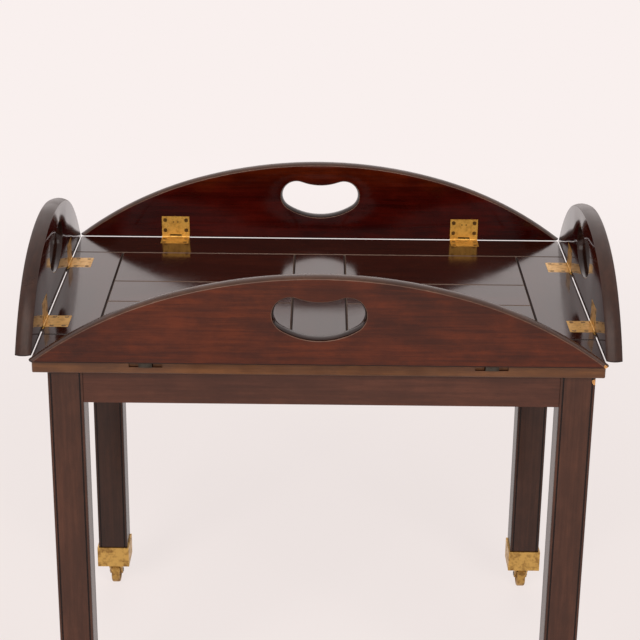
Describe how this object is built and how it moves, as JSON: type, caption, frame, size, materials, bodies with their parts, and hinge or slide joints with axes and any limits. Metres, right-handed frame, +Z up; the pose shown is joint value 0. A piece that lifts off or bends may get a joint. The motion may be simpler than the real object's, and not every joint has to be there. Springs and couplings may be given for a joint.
{
  "type": "tea trolley",
  "caption": "Butler's tray trolley: a dark wooden tray with hinged curved flaps and kidney-shaped hand holes, loose on a square-legged stand with brass castors.",
  "frame": {"origin": "on the floor, under the middle of the closed tray board", "axes": "+X to the right along the long side, +Y to the back, +Z up"},
  "size_m": [0.7, 0.483, 0.6365],
  "materials": {
    "frame_wood": "dark mahogany under a glossy lacquer",
    "board_wood": "dark red-brown mahogany, highly polished on top, duller on its edges",
    "flap_wood": "dark red mahogany with straight grain under a glossy lacquer",
    "inner_wood": "plain oiled hardwood, unpolished",
    "brass": "aged brass, worn satin",
    "steel": "tempered steel, dull"
  },
  "bodies": {
    "stand": {"leg_front_left": "frame_wood", "leg_front_right": "frame_wood", "leg_back_left": "frame_wood", "leg_back_right": "frame_wood", "apron_front": "frame_wood", "apron_back": "frame_wood", "apron_left": "frame_wood", "apron_right": "frame_wood", "corner_blocks": "inner_wood", "stand_screws": "brass", "castor_cups": "brass"},
    "tray": {"rail_front": "board_wood", "rail_back": "board_wood", "end_board_left": "board_wood", "end_board_right": "board_wood", "centre_board": "board_wood", "plank_left_front": "board_wood", "plank_left_middle": "board_wood", "plank_left_back": "board_wood", "plank_right_front": "board_wood", "plank_right_middle": "board_wood", "plank_right_back": "board_wood", "locating_cleats": "inner_wood", "tray_screws": "brass", "board_leaves_front": "brass", "board_leaves_back": "brass", "board_leaves_left": "brass", "board_leaves_right": "brass"},
    "flap_body_front": {"flap_front": "flap_wood", "flap_leaves_front": "brass", "hinge_pins_front": "brass", "hinge_springs_front": "steel", "flap_screws_front": "brass"},
    "flap_body_back": {"flap_back": "flap_wood", "flap_leaves_back": "brass", "hinge_pins_back": "brass", "hinge_springs_back": "steel", "flap_screws_back": "brass"},
    "flap_body_left": {"flap_left": "flap_wood", "flap_leaves_left": "brass", "hinge_pins_left": "brass", "hinge_springs_left": "steel", "flap_screws_left": "brass"},
    "flap_body_right": {"flap_right": "flap_wood", "flap_leaves_right": "brass", "hinge_pins_right": "brass", "hinge_springs_right": "steel", "flap_screws_right": "brass"},
    "fork_front_left": {"castor_fork_front_left": "brass", "castor_axle_front_left": "steel"},
    "wheel_front_left": {"castor_wheel_front_left": "brass"},
    "fork_front_right": {"castor_fork_front_right": "brass", "castor_axle_front_right": "steel"},
    "wheel_front_right": {"castor_wheel_front_right": "brass"},
    "fork_back_left": {"castor_fork_back_left": "brass", "castor_axle_back_left": "steel"},
    "wheel_back_left": {"castor_wheel_back_left": "brass"},
    "fork_back_right": {"castor_fork_back_right": "brass", "castor_axle_back_right": "steel"},
    "wheel_back_right": {"castor_wheel_back_right": "brass"}
  },
  "joints": [
    {"name": "tray_lift", "type": "slide", "parent": "stand", "child": "tray", "axis": [0, 0, 1], "range_m": [0, 0.25]},
    {"name": "flap_hinge_front", "type": "hinge", "parent": "tray", "child": "flap_body_front", "pos_m": [0, -0.2231, 0.5294], "axis": [1, 0, 0], "range_deg": [0, 90]},
    {"name": "flap_hinge_back", "type": "hinge", "parent": "tray", "child": "flap_body_back", "pos_m": [0, 0.2231, 0.5294], "axis": [-1, 0, 0], "range_deg": [0, 90]},
    {"name": "flap_hinge_left", "type": "hinge", "parent": "tray", "child": "flap_body_left", "pos_m": [-0.3316, 0, 0.5294], "axis": [0, -1, 0], "range_deg": [0, 90]},
    {"name": "flap_hinge_right", "type": "hinge", "parent": "tray", "child": "flap_body_right", "pos_m": [0.3316, 0, 0.5294], "axis": [0, 1, 0], "range_deg": [0, 90]},
    {"name": "castor_swivel_front_left", "type": "hinge", "parent": "stand", "child": "fork_front_left", "pos_m": [-0.295, -0.188, 0.0395], "axis": [0, 0, 1], "continuous": true},
    {"name": "wheel_spin_front_left", "type": "hinge", "parent": "fork_front_left", "child": "wheel_front_left", "pos_m": [-0.295, -0.174, 0.018], "axis": [1, 0, 0], "continuous": true},
    {"name": "castor_swivel_front_right", "type": "hinge", "parent": "stand", "child": "fork_front_right", "pos_m": [0.302, -0.188, 0.0395], "axis": [0, 0, 1], "continuous": true},
    {"name": "wheel_spin_front_right", "type": "hinge", "parent": "fork_front_right", "child": "wheel_front_right", "pos_m": [0.302, -0.174, 0.018], "axis": [1, 0, 0], "continuous": true},
    {"name": "castor_swivel_back_left", "type": "hinge", "parent": "stand", "child": "fork_back_left", "pos_m": [-0.295, 0.188, 0.0395], "axis": [0, 0, 1], "continuous": true},
    {"name": "wheel_spin_back_left", "type": "hinge", "parent": "fork_back_left", "child": "wheel_back_left", "pos_m": [-0.295, 0.202, 0.018], "axis": [1, 0, 0], "continuous": true},
    {"name": "castor_swivel_back_right", "type": "hinge", "parent": "stand", "child": "fork_back_right", "pos_m": [0.302, 0.188, 0.0395], "axis": [0, 0, 1], "continuous": true},
    {"name": "wheel_spin_back_right", "type": "hinge", "parent": "fork_back_right", "child": "wheel_back_right", "pos_m": [0.302, 0.202, 0.018], "axis": [1, 0, 0], "continuous": true}
  ]
}
